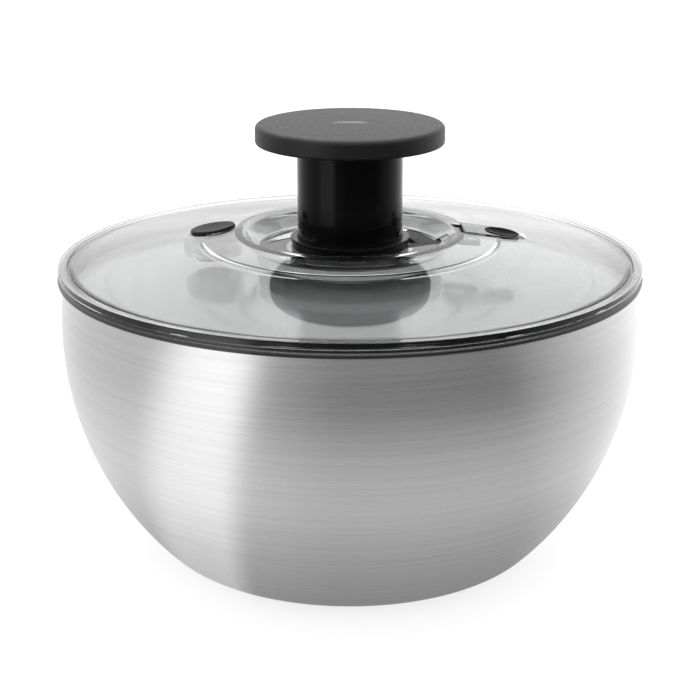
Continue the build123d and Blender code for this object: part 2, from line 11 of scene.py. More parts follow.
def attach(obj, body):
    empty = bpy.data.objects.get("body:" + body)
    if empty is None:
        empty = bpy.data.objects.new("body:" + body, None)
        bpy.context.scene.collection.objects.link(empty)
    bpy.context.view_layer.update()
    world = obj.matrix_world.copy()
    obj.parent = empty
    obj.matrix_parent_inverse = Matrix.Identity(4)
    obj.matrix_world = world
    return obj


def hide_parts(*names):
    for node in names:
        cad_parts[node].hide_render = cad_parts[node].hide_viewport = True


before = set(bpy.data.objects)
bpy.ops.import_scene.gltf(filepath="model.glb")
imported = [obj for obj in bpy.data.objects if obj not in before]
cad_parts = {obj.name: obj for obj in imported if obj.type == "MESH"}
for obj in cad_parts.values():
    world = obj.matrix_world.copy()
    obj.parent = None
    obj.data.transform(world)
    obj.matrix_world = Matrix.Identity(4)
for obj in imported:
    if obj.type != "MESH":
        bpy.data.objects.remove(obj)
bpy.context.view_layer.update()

MM = 0.001
SEGMENTS = 288            # round the big turned pieces

# ---- driving dimensions, mm, the same ones as the CAD ----
BOWL_BASE_R, BOWL_BASE_Z = 75.5, 1.0
BOWL_CORNER_R, BOWL_CORNER_A, BOWL_TOP_A = 23.4, 45.8, 99.4
BOWL_RIM_Z, BOWL_T = 134.9, 0.9
PIVOT_Z = 8.0
LID_R, LID_TOP_Z, LID_FOOT_Z, LID_T = 134.4, 140.9, 138.0, 2.6
DOME_R, DOME_FOOT_Z, DOME_SAG = 129.0, 140.5, 0.5
WELL_R, WELL_TOP_Z, WELL_FOOT_R, WELL_FLOOR_Z = 51.24, 153.96, 42.0, 146.5
SEAL_R, SEAL_Z = 135.0, 134.3
TUBE_R, COLLAR_R, COLLAR_TOP_Z = 24.3, 27.1, 151.2
KNOB_R, KNOB_Z, KNOB_EDGE_Z, KNOB_TOP_Z = 43.35, 194.7, 203.45, 203.9
KNOB_ROUND, KNOB_BORE_R, KNOB_ROOF_Z = 2.2, 40.42, 201.6
INLAY, RECESS, RECESS_DEPTH = (8.42, 3.72), (8.5, 3.8), 0.7
STROKE, KEY_TOP_Z, NUT_Z, BOLT_Z = 45.5, 150.5, 142.0, 143.9
BRAKE_AZ, BRAKE_RAD, BUTTON_R = 172.0, 65.0, 10.35
BRAKE_AT = (BRAKE_RAD * cos(radians(BRAKE_AZ)), BRAKE_RAD * sin(radians(BRAKE_AZ)))
BUTTON_Z, BUTTON_DRAWN_Z = 145.4, 160.0
GUIDE_R, GUIDE_BORE_R, STEM_BORE_R = 13.4, 11.6, 5.06
GUIDE_Z, GUIDE_FLOOR_Z, GUIDE_DRAWN_Z = 138.8, 140.4, 150.0
LOCK_AZ, LOCK_RAD, LOCK_HALF_W = 4.0, 66.0, 9.3
DISH_X, DISH_R = 5.0, 8.12
RIB_R, RIB_T, RIB_Z, RIB_DRAWN_Z = 68.6, 2.0, 146.4, 149.3
RUN_FIT = 0.06            # radial gap between pieces that slide or seat in each other
AIR = 0.25                # gap that keeps a piece from showing dark through clear plastic


# ================= geometry helpers =================
def dome_z(r):
    """Height of the lid's outer surface at radius r."""
    half = (DOME_R - WELL_R) / 2
    rise = (WELL_TOP_Z - DOME_FOOT_Z) * (DOME_R - r) / (2 * half)
    return DOME_FOOT_Z + rise + DOME_SAG * (1 - ((r - WELL_R - half) / half) ** 2)


def dome_tilt(r):
    """Downward slope of the lid at radius r, in radians."""
    return math.atan((dome_z(r - 1) - dome_z(r + 1)) / 2)


def wall(offset, z_top, steps=14):
    """The bowl's corner and side arcs, moved inward by offset, from the base up to z_top."""
    a1, a2 = radians(BOWL_CORNER_A), radians(BOWL_TOP_A)
    c1 = (BOWL_BASE_R, BOWL_BASE_Z + BOWL_CORNER_R)
    z1 = c1[1] - BOWL_CORNER_R * cos(a1)
    side_r = (BOWL_RIM_Z - z1) / (cos(a1) - cos(a2))
    c2 = (c1[0] + (BOWL_CORNER_R - side_r) * sin(a1), z1 + side_r * cos(a1))
    rc, rs = BOWL_CORNER_R - offset, side_r - offset
    a_top = math.acos((c2[1] - z_top) / rs)
    low = [a1 * i / steps for i in range(steps + 1)]
    high = [a1 + (a_top - a1) * i / (2 * steps) for i in range(1, 2 * steps + 1)]
    return ([(c1[0] + rc * sin(a), c1[1] - rc * cos(a)) for a in low]
            + [(c2[0] + rs * sin(a), c2[1] - rs * cos(a)) for a in high])


def soften(points, radius=0.3, steps=4, skip=()):
    """Rounds the corners of a closed outline, leaving points on the axis alone."""
    out, n = [], len(points)
    for i, p in enumerate(points):
        a, b = points[i - 1], points[(i + 1) % n]
        v = Vector(p)
        da, db = Vector(a) - v, Vector(b) - v
        if p[0] < 1e-6 or i in skip or da.length < 1e-6 or db.length < 1e-6 \
                or da.angle(db) > radians(172):
            out.append(p)
            continue
        reach = min(radius, 0.45 * da.length, 0.45 * db.length)
        s, e = v + da.normalized() * reach, v + db.normalized() * reach
        for k in range(steps + 1):
            t = k / steps
            q = s * (1 - t) ** 2 + v * 2 * t * (1 - t) + e * t * t
            out.append((q.x, q.y))
    return out


def finish_mesh(obj, sharp=38):
    """Smooth shading with real corners kept, and face-weighted normals."""
    obj.data.shade_smooth()
    obj.data.set_sharp_from_angle(angle=radians(sharp))
    normals = obj.modifiers.new("normals", "WEIGHTED_NORMAL")
    normals.keep_sharp = True
    return obj


def new_object(name, verts, faces):
    mesh = bpy.data.meshes.new(name)
    mesh.from_pydata([tuple(c * MM for c in v) for v in verts], [], faces)
    mesh.validate()
    work = bmesh.new()
    work.from_mesh(mesh)
    bmesh.ops.recalc_face_normals(work, faces=work.faces)
    work.to_mesh(mesh)
    work.free()
    obj = bpy.data.objects.new(name, mesh)
    bpy.context.scene.collection.objects.link(obj)
    return obj


def lathe(name, outline, segments=SEGMENTS, centre=(0.0, 0.0)):
    """Turns a closed outline of (radius, height) about an upright axis."""
    verts, rings = [], []
    for r, z in outline:
        if r < 1e-6:
            rings.append([len(verts)] * segments)
            verts.append((centre[0], centre[1], z))
        else:
            rings.append(list(range(len(verts), len(verts) + segments)))
            verts += [(centre[0] + r * cos(2 * pi * k / segments),
                       centre[1] + r * sin(2 * pi * k / segments), z) for k in range(segments)]
    faces = []
    for i, ring in enumerate(rings):
        nxt = rings[(i + 1) % len(rings)]
        if ring[0] == ring[1] and nxt[0] == nxt[1]:
            continue
        for k in range(segments):
            j = (k + 1) % segments
            quad = []
            for v in (ring[k], ring[j], nxt[j], nxt[k]):
                if v not in quad:
                    quad.append(v)
            faces.append(quad)
    return new_object(name, verts, faces)


def prism(name, outline, low, high, place=None):
    """Straight prism of a flat outline, optionally set in a tilted place."""
    n = len(outline)
    verts = [(x, y, low) for x, y in outline] + [(x, y, high) for x, y in outline]
    if place is not None:
        verts = [tuple(place @ Vector(v)) for v in verts]
    faces = [list(range(n))[::-1], list(range(n, 2 * n))]
    faces += [[i, (i + 1) % n, n + (i + 1) % n, n + i] for i in range(n)]
    return new_object(name, verts, faces)


def tube(name, path, radius, sides=12, closed=False):
    """Round wire along a list of points."""
    pts = [Vector(p) for p in path]
    n = len(pts)
    verts, up = [], Vector((0, 0, 1))
    for i, p in enumerate(pts):
        ahead = pts[(i + 1) % n] if closed or i < n - 1 else p
        behind = pts[i - 1] if closed or i > 0 else p
        t = (ahead - behind).normalized()
        side = t.cross(up).normalized()
        over = side.cross(t)
        turns = [2 * pi * k / sides for k in range(sides)]
        verts += [tuple(p + radius * (cos(a) * side + sin(a) * over)) for a in turns]
    faces = []
    for i in range(n if closed else n - 1):
        j = (i + 1) % n
        faces += [[i * sides + k, i * sides + (k + 1) % sides,
                   j * sides + (k + 1) % sides, j * sides + k] for k in range(sides)]
    if not closed:
        faces += [list(range(sides))[::-1], list(range((n - 1) * sides, n * sides))]
    return new_object(name, verts, faces)


def apply_modifiers(obj):
    """Bakes an object's modifiers into its mesh."""
    graph = bpy.context.evaluated_depsgraph_get()
    mesh = bpy.data.meshes.new_from_object(obj.evaluated_get(graph))
    obj.modifiers.clear()
    obj.data = mesh
    return obj


def combine(obj, others, operation):
    """Cuts others out of obj, or joins them to it, and removes them."""
    for other in others:
        step = obj.modifiers.new("step", "BOOLEAN")
        step.operation, step.solver, step.object = operation, "MANIFOLD", other
        apply_modifiers(obj)
        bpy.data.objects.remove(other)
    return obj


def polar_place(azimuth, radius, z, tilt=0.0):
    """Matrix of a place on the lid: x outward and down the slope, z out of the surface."""
    return (Matrix.Rotation(radians(azimuth), 4, "Z")
            @ Matrix.Translation((radius, 0, z)) @ Matrix.Rotation(tilt, 4, "Y"))


def rectangle(x0, x1, y0, y1):
    return [(x0, y0), (x1, y0), (x1, y1), (x0, y1)]


def oval(a, b, x=0.0, steps=64):
    """Ellipse of half-widths a and b, centred at x."""
    return [(x + a * cos(2 * pi * i / steps), b * sin(2 * pi * i / steps)) for i in range(steps)]


def plate_outline(x0, x1, half, steps=24):
    """Plate with a square inner end and a half-round outer end centred on x1."""
    arc = [(x1 + half * cos(a), half * sin(a))
           for a in [-pi / 2 + pi * i / steps for i in range(steps + 1)]]
    return [(x0, -half)] + arc + [(x0, half)]


# ================= material helpers =================
class Shade:
    """A Principled material under construction."""

    def __init__(self, name, **sockets):
        self.mat = bpy.data.materials.new(name)
        self.mat.use_nodes = True
        self.tree = self.mat.node_tree
        self.bsdf = self.tree.nodes["Principled BSDF"]
        for key, value in sockets.items():
            self.bsdf.inputs[key.replace("_", " ")].default_value = value

    def node(self, kind, **props):
        made = self.tree.nodes.new(kind)
        for key, value in props.items():
            setattr(made, key, value)
        return made

    def link(self, a, b):
        self.tree.links.new(a, b)

    def noise(self, stretch, scale, detail=3.0, rough=0.55):
        """Noise in object space, with its axes stretched."""
        where = self.node("ShaderNodeTexCoord")
        mapping = self.node("ShaderNodeMapping")
        mapping.inputs["Scale"].default_value = stretch
        self.link(where.outputs["Object"], mapping.inputs["Vector"])
        made = self.node("ShaderNodeTexNoise")
        made.inputs["Scale"].default_value = scale
        made.inputs["Detail"].default_value = detail
        made.inputs["Roughness"].default_value = rough
        self.link(mapping.outputs["Vector"], made.inputs["Vector"])
        return made.outputs["Fac"]

    def spread(self, fac, low, high, source=(0.3, 0.7)):
        """Maps a noise value onto a range."""
        made = self.node("ShaderNodeMapRange")
        made.inputs["From Min"].default_value, made.inputs["From Max"].default_value = source
        made.inputs["To Min"].default_value, made.inputs["To Max"].default_value = low, high
        self.link(fac, made.inputs["Value"])
        return made.outputs["Result"]

    def roughness(self, fac, low, high):
        self.link(self.spread(fac, low, high), self.bsdf.inputs["Roughness"])

    def colour(self, fac, low, high):
        made = self.node("ShaderNodeMix", data_type="RGBA")
        made.inputs[6].default_value, made.inputs[7].default_value = (*low, 1), (*high, 1)
        self.link(self.spread(fac, 0.0, 1.0), made.inputs[0])
        self.link(made.outputs[2], self.bsdf.inputs["Base Color"])

    def bump(self, fac, distance, strength=1.0, after=None):
        made = self.node("ShaderNodeBump")
        made.inputs["Strength"].default_value = strength
        made.inputs["Distance"].default_value = distance
        self.link(fac, made.inputs["Height"])
        if after is not None:
            self.link(after, made.inputs["Normal"])
        self.link(made.outputs["Normal"], self.bsdf.inputs["Normal"])
        return made.outputs["Normal"]


def brushed_steel():
    s = Shade("brushed_steel", Metallic=1.0, Anisotropic=0.6, Anisotropic_Rotation=0.25)
    fine = s.noise((18, 18, 7600), 1.0, 4.0, 0.6)
    broad = s.noise((5, 5, 900), 1.0, 3.0, 0.6)
    s.colour(broad, (0.60, 0.60, 0.605), (0.66, 0.66, 0.665))
    s.roughness(fine, 0.24, 0.34)
    s.bump(fine, 0.00001, 0.30)
    around = s.node("ShaderNodeTangent", direction_type="RADIAL", axis="Z")
    s.link(around.outputs["Tangent"], s.bsdf.inputs["Tangent"])
    return s.mat


def bright_steel():
    s = Shade("bright_steel", Metallic=1.0)
    s.colour(s.noise((1, 1, 1), 300.0), (0.60, 0.60, 0.61), (0.72, 0.72, 0.73))
    s.roughness(s.noise((1, 1, 1), 900.0), 0.16, 0.30)
    return s.mat


def clear_plastic(name, tint, low, high, clear=1.0, wave=0.00002):
    s = Shade(name, Base_Color=(*tint, 1), Transmission_Weight=clear, IOR=1.49)
    s.roughness(s.noise((1, 1, 1), 260.0, 4.0), low, high)
    s.bump(s.noise((1, 1, 1), 45.0, 1.0), wave, 0.6)
    return s.mat


def gloss_black(name, ior):
    s = Shade(name, IOR=ior)
    s.colour(s.noise((1, 1, 1), 120.0), (0.001, 0.001, 0.001), (0.003, 0.003, 0.003))
    s.roughness(s.noise((1, 1, 6), 420.0, 5.0), 0.05, 0.12)
    s.bump(s.noise((1, 1, 0.2), 60.0, 1.0), 0.00002, 0.5)
    return s.mat


def moulded(name, low, high, rough, grain=2400.0, depth=0.00002, **more):
    s = Shade(name, **more)
    s.colour(s.noise((1, 1, 1), 70.0), low, high)
    s.roughness(s.noise((1, 1, 1), 500.0), *rough)
    s.bump(s.noise((1, 1, 1), grain, 2.0), depth, 0.7)
    return s.mat


STEEL = brushed_steel()
WIRE = bright_steel()
CLEAR = clear_plastic("clear_lid", (0.985, 0.99, 0.99), 0.0, 0.03)
CLEAR_IN = clear_plastic("clear_inner", (0.86, 0.865, 0.87), 0.08, 0.16, 0.85)
CLEAR_CORE = clear_plastic("clear_core", (0.98, 0.982, 0.985), 0.12, 0.22, 0.10)
FROST = clear_plastic("basket_clear", (0.93, 0.94, 0.945), 0.16, 0.28)
SMOKE = clear_plastic("slider_grey", (0.42, 0.43, 0.44), 0.04, 0.10)
GLOSS = gloss_black("gloss_black", 1.22)
DISH = gloss_black("dish_black", 1.03)
SEAL = moulded("seal_black", (0.006, 0.006, 0.006), (0.012, 0.012, 0.012), (0.12, 0.22),
               grain=1500.0, IOR=1.5)
FOOT = moulded("foot_black", (0.015, 0.015, 0.015), (0.03, 0.03, 0.03), (0.6, 0.75), IOR=1.5)
SOFT = moulded("soft_black", (0.005, 0.005, 0.005), (0.009, 0.009, 0.009), (0.40, 0.50),
               grain=5200.0, depth=0.00003, IOR=1.36)
WHITE = moulded("inner_white", (0.72, 0.72, 0.71), (0.80, 0.80, 0.79), (0.35, 0.48))
DARK = moulded("inner_black", (0.006, 0.006, 0.006), (0.012, 0.012, 0.012), (0.4, 0.55),
               IOR=1.22)
BRAKE = moulded("brake_rubber", (0.008, 0.008, 0.008), (0.014, 0.014, 0.014), (0.42, 0.55),
                grain=3600.0, depth=0.00003, IOR=1.22)


def place(obj, body, slot, material, *nodes):
    """Gives a piece its material and body and hides the CAD nodes it stands for; slot is not used.
    """
    obj.data.materials.clear()
    obj.data.materials.append(material)
    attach(obj, body)
    if nodes:
        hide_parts(*nodes)
    return obj


# ================= bowl =================
def build_bowl():
    outer = wall(0, BOWL_RIM_Z, 20)
    inner = wall(BOWL_T, BOWL_RIM_Z, 20)
    bead_c = (outer[-1][0] + 0.55, BOWL_RIM_Z)
    bead = [(bead_c[0] + 1.1 * cos(a), bead_c[1] + 1.1 * sin(a))
            for a in [radians(-122 + 300 * i / 22) for i in range(23)]]
    floor_z = BOWL_BASE_Z + BOWL_T
    under = [(0, PIVOT_Z - BOWL_T), (3.4, 7.05), (4.3, 6.5), (5.2, 5.2), (9.4, 2.0),
             (11.6, 1.2), (14.0, BOWL_BASE_Z), (40.0, BOWL_BASE_Z)]
    over = [(40.0, floor_z), (13.5, floor_z), (11.0, 2.4), (6.0, 5.75), (5.1, 6.5),
            (4.95, 7.5), (4.4, PIVOT_Z), (0, PIVOT_Z)]
    bowl = lathe("steel_bowl", under + outer + bead + inner[::-1] + over, 384)
    finish_mesh(bowl, 60)
    place(bowl, "bowl", "steel", STEEL, "bowl")
    ring = lathe("foot_pad", soften([(61.0, 0), (74.5, 0), (74.5, BOWL_BASE_Z - 0.02),
                                     (61.0, BOWL_BASE_Z - 0.02)], 0.35))
    place(finish_mesh(ring), "bowl", "foot_black", FOOT, "foot_ring")


# ================= lid =================
def lid_outline():
    under_z, lip_r = WELL_FLOOR_Z - LID_T, 127.4
    first_in, first_out = WELL_R + 1.9, WELL_R + 1.2
    fall = dome_z(lip_r) - LID_T - LID_FOOT_Z
    outline = soften([(COLLAR_R + RUN_FIT, under_z), (COLLAR_R + RUN_FIT, WELL_FLOOR_Z),
                      (WELL_FOOT_R - 0.6, WELL_FLOOR_Z), (WELL_FOOT_R + 0.4, WELL_FLOOR_Z + 0.5),
                      (WELL_R - 2.6, WELL_TOP_Z - 0.8), (WELL_R - 1.2, WELL_TOP_Z - 0.1),
                      (first_out, dome_z(first_out))], 1.2, 6, skip=(0, 1, 6))
    outline += [(r, dome_z(r)) for r in
                [first_out + (DOME_R - first_out) * i / 24 for i in range(1, 25)]]
    outline += soften([(129.3, 140.05), (130.1, 140.0), (130.5, LID_TOP_Z), (LID_R, LID_TOP_Z),
                       (LID_R, LID_FOOT_Z), (lip_r, LID_FOOT_Z)], 0.45, 5, skip=(0, 5))
    outline += [(r, dome_z(r) - LID_T - fall * (r - first_in) / (lip_r - first_in)) for r in
                [lip_r + (first_in - lip_r) * i / 24 for i in range(1, 25)]]
    outline += [(WELL_FOOT_R + 2.3, under_z)]
    return outline


def sector(r0, r1, a0, a1, steps=12):
    """Outline of a flat ring sector between two radii and two azimuths."""
    turns = [radians(a0 + (a1 - a0) * i / steps) for i in range(steps + 1)]
    return ([(r0 * cos(a), r0 * sin(a)) for a in turns]
            + [(r1 * cos(a), r1 * sin(a)) for a in turns[::-1]])


def build_lid():
    lid = lathe("lid_dome", lid_outline(), 360)
    lock = polar_place(LOCK_AZ, LOCK_RAD, dome_z(LOCK_RAD), dome_tilt(LOCK_RAD))
    under_z = WELL_FLOOR_Z - LID_T

    # stiffening ring under the dome, open at the brake and at the lock's clip
    low, high = RIB_R - RIB_T / 2, RIB_R + RIB_T / 2
    rib = lathe("rib", rectangle(low, high, RIB_Z, RIB_DRAWN_Z), 360)
    round_brake = [(0, 138), (13.7, 138), (13.7, 158), (0, 158)]
    combine(rib, [lathe("cut", round_brake, 96, BRAKE_AT),
                  prism("cut", rectangle(-5.0, 15.0, -6.5, 6.5), -9, -LID_T, lock)],
            "DIFFERENCE")
    combine(lid, [rib], "UNION")

    hole = [(0, 139), (BUTTON_R + 0.35, 139), (BUTTON_R + 0.35, 158), (0, 158)]
    channel = [(25.5, 2.9), (28.2, 4.5), (37.2, 9.95), (50.5, 10.5), (50.5, 1.4), (43.4, 3.3),
               (30.4, -3.4), (27.4, -5.2), (25.5, -5.2)]
    floor_cut = (under_z - 0.1, under_z + 3.6)
    cutters = [
        lathe("cut", hole, 96, BRAKE_AT),
        prism("cut", plate_outline(-19.7, 7.3, LOCK_HALF_W + 0.4), -1.3, 5, lock),
        prism("cut", rectangle(-14.3, -6.1, -2.9, 2.9), -8, -1, lock),
        prism("cut", rectangle(2.6, 9.4, -2.9, 2.9), -8, -1, lock),
        prism("cut", channel, *floor_cut),
        prism("cut", sector(26.9, 41.4, 5, 53), *floor_cut),
    ]
    combine(lid, cutters, "DIFFERENCE")
    place(finish_mesh(lid, 32), "lid", "clear_lid", CLEAR, "lid_shell")

    # brake guide: a cup whose upper edge follows the underside of the dome
    guide = lathe("brake_guide", soften([
        (STEM_BORE_R, GUIDE_Z), (GUIDE_R, GUIDE_Z), (GUIDE_R, GUIDE_DRAWN_Z),
        (GUIDE_BORE_R, GUIDE_DRAWN_Z), (GUIDE_BORE_R, GUIDE_FLOOR_Z),
        (STEM_BORE_R, GUIDE_FLOOR_Z)], 0.3), 96, BRAKE_AT)
    for v in guide.data.vertices:
        if v.co.z / MM > GUIDE_DRAWN_Z - 1.5:
            r = math.hypot(v.co.x, v.co.y) / MM
            v.co.z = (dome_z(r) - LID_T - AIR + (v.co.z / MM - GUIDE_DRAWN_Z)) * MM
    place(finish_mesh(guide), "lid", "clear_lid", CLEAR_IN)


def build_seal():
    foot_z = BOWL_RIM_Z + 1.1
    top_z = LID_FOOT_Z - AIR
    # from below: a foot, a bead that bulges over the bowl's rim, and a web under the flange
    outline = [(131.2, foot_z), (133.8, foot_z), (133.8, SEAL_Z), (134.3, SEAL_Z),
               (134.85, SEAL_Z + 0.4), (SEAL_R, SEAL_Z + 1.1), (134.75, SEAL_Z + 1.8),
               (134.0, SEAL_Z + 2.2), (133.9, top_z), (131.2, top_z)]
    seal = lathe("lid_seal", soften(outline, 0.3, 4))
    place(finish_mesh(seal), "lid", "seal_black", SEAL, "rim_seal")


def build_collar():
    bore = TUBE_R + RUN_FIT
    outline = [(bore, 141.9), (29.5, 141.9), (29.5, BOLT_Z), (COLLAR_R, BOLT_Z),
               (COLLAR_R, COLLAR_TOP_Z - 2.2), (COLLAR_R + 0.4, COLLAR_TOP_Z - 1.7),
               (COLLAR_R + 0.4, COLLAR_TOP_Z), (bore, COLLAR_TOP_Z)]
    collar = lathe("collar_ring", soften(outline, 0.4, 4), 192)
    window = prism("cut", [(21.5, 1.0), (23.4, 1.6), (25.0, 2.8), (29.6, 5.5), (29.6, -5.3),
                           (21.5, -5.3)], BOLT_Z, 147.4)
    combine(collar, [window], "DIFFERENCE")
    place(finish_mesh(collar, 32), "lid", "gloss_black", GLOSS, "guide_collar")


def build_springs():
    for name, node, at, low, high, radius, wire, turns in (
            ("knob_spring", "return_spring", (0, 0), 84.6, NUT_Z, 11.0, 0.6, 8.0),
            ("button_spring", "brake_spring", BRAKE_AT, GUIDE_FLOOR_Z, BUTTON_Z,
             8.0, 0.35, 2.5)):
        steps = int(turns * 28)
        z0, z1 = low + wire + 0.03, high - wire - 0.03
        path = []
        for i in range(steps + 1):
            t = i / steps
            rise = min(max((t - 0.05) / 0.9, 0), 1)
            a = 2 * pi * turns * t
            path.append((at[0] + radius * cos(a), at[1] + radius * sin(a),
                         z0 + (z1 - z0) * rise))
        spring = tube(name, path, wire, 10)
        place(finish_mesh(spring), "lid", "spring_steel", WIRE, node)


# ================= knob =================
def build_knob():
    top_r = KNOB_R - KNOB_ROUND
    dome = [(top_r - top_r * i / 12,
             KNOB_EDGE_Z + (KNOB_TOP_Z - KNOB_EDGE_Z) * (1 - (1 - i / 12) ** 2)) for i in range(13)]
    edge = [(top_r + KNOB_ROUND * cos(a), KNOB_EDGE_Z - KNOB_ROUND + KNOB_ROUND * sin(a))
            for a in [pi / 2 * i / 8 for i in range(8)]]
    low = soften([(KNOB_BORE_R, KNOB_ROOF_Z), (KNOB_BORE_R, KNOB_Z), (KNOB_R, KNOB_Z),
                  (KNOB_R, 199.0)], 1.3, 6, skip=(0, 3))
    outline = [(0, KNOB_ROOF_Z)] + low + edge + dome
    cap = lathe("knob_cap", outline, 256)
    recess = prism("cut", oval(*RECESS), KNOB_TOP_Z - RECESS_DEPTH, KNOB_TOP_Z + 2)
    combine(cap, [recess], "DIFFERENCE")
    place(finish_mesh(cap, 30), "knob", "soft_black", SOFT, "knob_pad")

    # blank oval inlay with a softly crowned top
    rings, verts, faces, sides = 7, [], [], 64
    for k in range(rings):
        t = k / (rings - 1)
        scale = cos(t * pi / 2 * 0.96)
        rise = KNOB_TOP_Z - RECESS_DEPTH if k == 0 else KNOB_TOP_Z - 0.12 + 0.18 * sin(t * pi / 2)
        grow = 1.0 if k <= 1 else scale
        verts += [(x, y, rise) for x, y in oval(INLAY[0] * grow, INLAY[1] * grow, 0.0, sides)]
        if k:
            faces += [[(k - 1) * sides + i, (k - 1) * sides + (i + 1) % sides,
                       k * sides + (i + 1) % sides, k * sides + i] for i in range(sides)]
    faces += [list(range(sides))[::-1], list(range((rings - 1) * sides, rings * sides))]
    badge = new_object("knob_inlay", verts, faces)
    place(finish_mesh(badge), "knob", "gloss_black", GLOSS, "knob_badge")

    # plunger column
    outline = soften([(22.3, 136.0), (TUBE_R, 136.0), (TUBE_R, 199.8), (20.5, 199.8),
                      (20.5, 148.0), (22.3, 148.0)], 0.5, 4)
    column = lathe("column", outline, 192)
    cutters = [prism("cut", rectangle(23.05, 27, -5.5, 1.9), z, z + 3.4)
               for z in (BOLT_Z, BOLT_Z + STROKE)]
    cutters.append(prism("cut", rectangle(-1.85, 1.85, 23.3, 26),
                         KEY_TOP_Z + STROKE - 64.2, KEY_TOP_Z + STROKE + 0.8))
    combine(column, cutters, "DIFFERENCE")
    place(finish_mesh(column, 32), "knob", "gloss_black", GLOSS, "plunger_tube")


# ================= brake and lock =================
def build_brake():
    # drawn flat, then its top is tilted to follow the dome
    button = lathe("brake_cap", soften([
        (0, BUTTON_Z), (11.25, BUTTON_Z), (11.25, 147.2), (BUTTON_R, 147.2),
        (BUTTON_R, BUTTON_DRAWN_Z), (8.6, BUTTON_DRAWN_Z), (4.0, 159.5), (0, 159.35)],
        0.7, 6), 128, BRAKE_AT)
    slope = math.tan(dome_tilt(BRAKE_RAD))
    for v in button.data.vertices:
        z = v.co.z / MM
        if z > 150:
            out = v.co.x / MM * cos(radians(BRAKE_AZ)) + v.co.y / MM * sin(radians(BRAKE_AZ))
            v.co.z = (z - BUTTON_DRAWN_Z + dome_z(BRAKE_RAD) + 1.15
                      - slope * (out - BRAKE_RAD)) * MM
    place(finish_mesh(button), "brake", "brake_rubber", BRAKE, "brake_button")


def build_lock():
    lock = polar_place(LOCK_AZ, LOCK_RAD, dome_z(LOCK_RAD), dome_tilt(LOCK_RAD))
    plate = prism("slider_plate", plate_outline(-13.7, 4.3, LOCK_HALF_W), -1.0, 0.5, lock)
    bevel = plate.modifiers.new("bevel", "BEVEL")
    bevel.width, bevel.segments, bevel.limit_method = 0.00028, 3, "ANGLE"
    apply_modifiers(plate)
    disc = oval(DISH_R, DISH_R, DISH_X)
    combine(plate, [prism("cut", disc, -0.3, 4, lock)], "DIFFERENCE")
    legs = [prism("leg", rectangle(-10.5, -6.5, -2.5, 2.5), -5.9, -0.98, lock),
            prism("leg", rectangle(6.0, 9.0, -2.5, 2.5), -4.4, -0.98, lock)]
    combine(plate, legs, "UNION")
    place(finish_mesh(plate, 32), "lock", "slider_grey", SMOKE, "lock_slider")

    dish = [(0, -0.3), (8.08, -0.3), (8.08, 0.75)]
    dish += [(7.6 * (1 - i / 10), 0.78 - 0.72 * (1 - (1 - i / 10) ** 2)) for i in range(11)]
    pad = lathe("finger_dish", soften(dish, 0.35, 4), 96)
    shift = lock @ Matrix.Translation((DISH_X, 0, 0))
    for v in pad.data.vertices:
        v.co = (shift @ (v.co / MM)) * MM
    place(finish_mesh(pad), "lock", "gloss_black", DISH, "lock_finger_pad")


# ================= CAD pieces that keep their own shape =================
KEPT = {
    "basket": FROST, "pump_housing": CLEAR_CORE, "drive_disc": CLEAR_IN, "drive_ring": CLEAR_IN,
    "drive_cup": CLEAR_CORE, "clutch_barrel": CLEAR_CORE, "hub_cap": CLEAR_CORE,
    "spindle_bush": WHITE, "hub_snap_ring": WIRE, "knob_core": DARK, "knob_screws": WIRE,
    "helix_nut": WHITE, "nut_ring": WIRE, "drive_spindle": WIRE, "clutch_driver": WHITE,
    "driver_clip": WIRE, "clutch_ring": WHITE, "brake_stem": WHITE, "brake_pad": BRAKE,
    "lock_bolt": DARK, "lock_clip": DARK,
}

build_bowl()
build_lid()
build_seal()
build_collar()
build_springs()
build_knob()
build_brake()
build_lock()
for node, material in KEPT.items():
    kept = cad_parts[node]
    kept.data.materials.clear()
    kept.data.materials.append(material)


# ================= studio =================
# Brightness of the studio walls at compass angles in degrees, 0 at the front: a bright back, a
# softer left side, a bright band front left, a dark front, and a right side that brightens
# towards the back.
STUDIO_WALLS = (
    (-180, 1.15), (-140, 1.05), (-110, 0.80), (-74, 0.66), (-60, 1.50), (-38, 1.65), (-30, 0.42),
    (-5, 0.20), (55, 0.18), (110, 1.05), (130, 1.3),
)
RAMP_TOP = 2.0            # ramp colours stop at 1, so the walls are stored as a share of this


class Tree:
    """Short calls for wiring a node tree."""

    def __init__(self, tree):
        self.tree = tree

    def node(self, kind, *inputs, **props):
        made = self.tree.nodes.new(kind)
        for key, value in props.items():
            setattr(made, key, value)
        for socket, value in zip(made.inputs, inputs):
            if hasattr(value, "links"):
                self.tree.links.new(value, socket)
            elif value is not None:
                socket.default_value = value
        return made

    def maths(self, operation, a, b=0.0):
        return self.node("ShaderNodeMath", a, b, operation=operation).outputs[0]

    def walls(self, vector):
        """Brightness of the studio walls in the compass direction of a vector."""
        split = self.node("ShaderNodeSeparateXYZ", vector)
        front = self.maths("MULTIPLY", split.outputs["Y"], -1.0)
        angle = self.maths("ARCTAN2", split.outputs["X"], front)
        turn = self.maths("ADD", self.maths("DIVIDE", angle, 2 * pi), 0.5)
        ramp = self.node("ShaderNodeValToRGB", turn)
        stops = ramp.color_ramp.elements
        stops.remove(stops[-1])
        for i, (compass, value) in enumerate(STUDIO_WALLS):
            stop = stops[0] if i == 0 else stops.new((compass + 180) / 360)
            stop.position = (compass + 180) / 360
            stop.color = (value / RAMP_TOP,) * 3 + (1,)
        return ramp.outputs["Color"]


FLOOR_NEAR, FLOOR_WALLS, FLOOR_SEEN = 0.60, 0.48, 0.97
SKY_LIT, SKY_SEEN = 0.66, 0.55


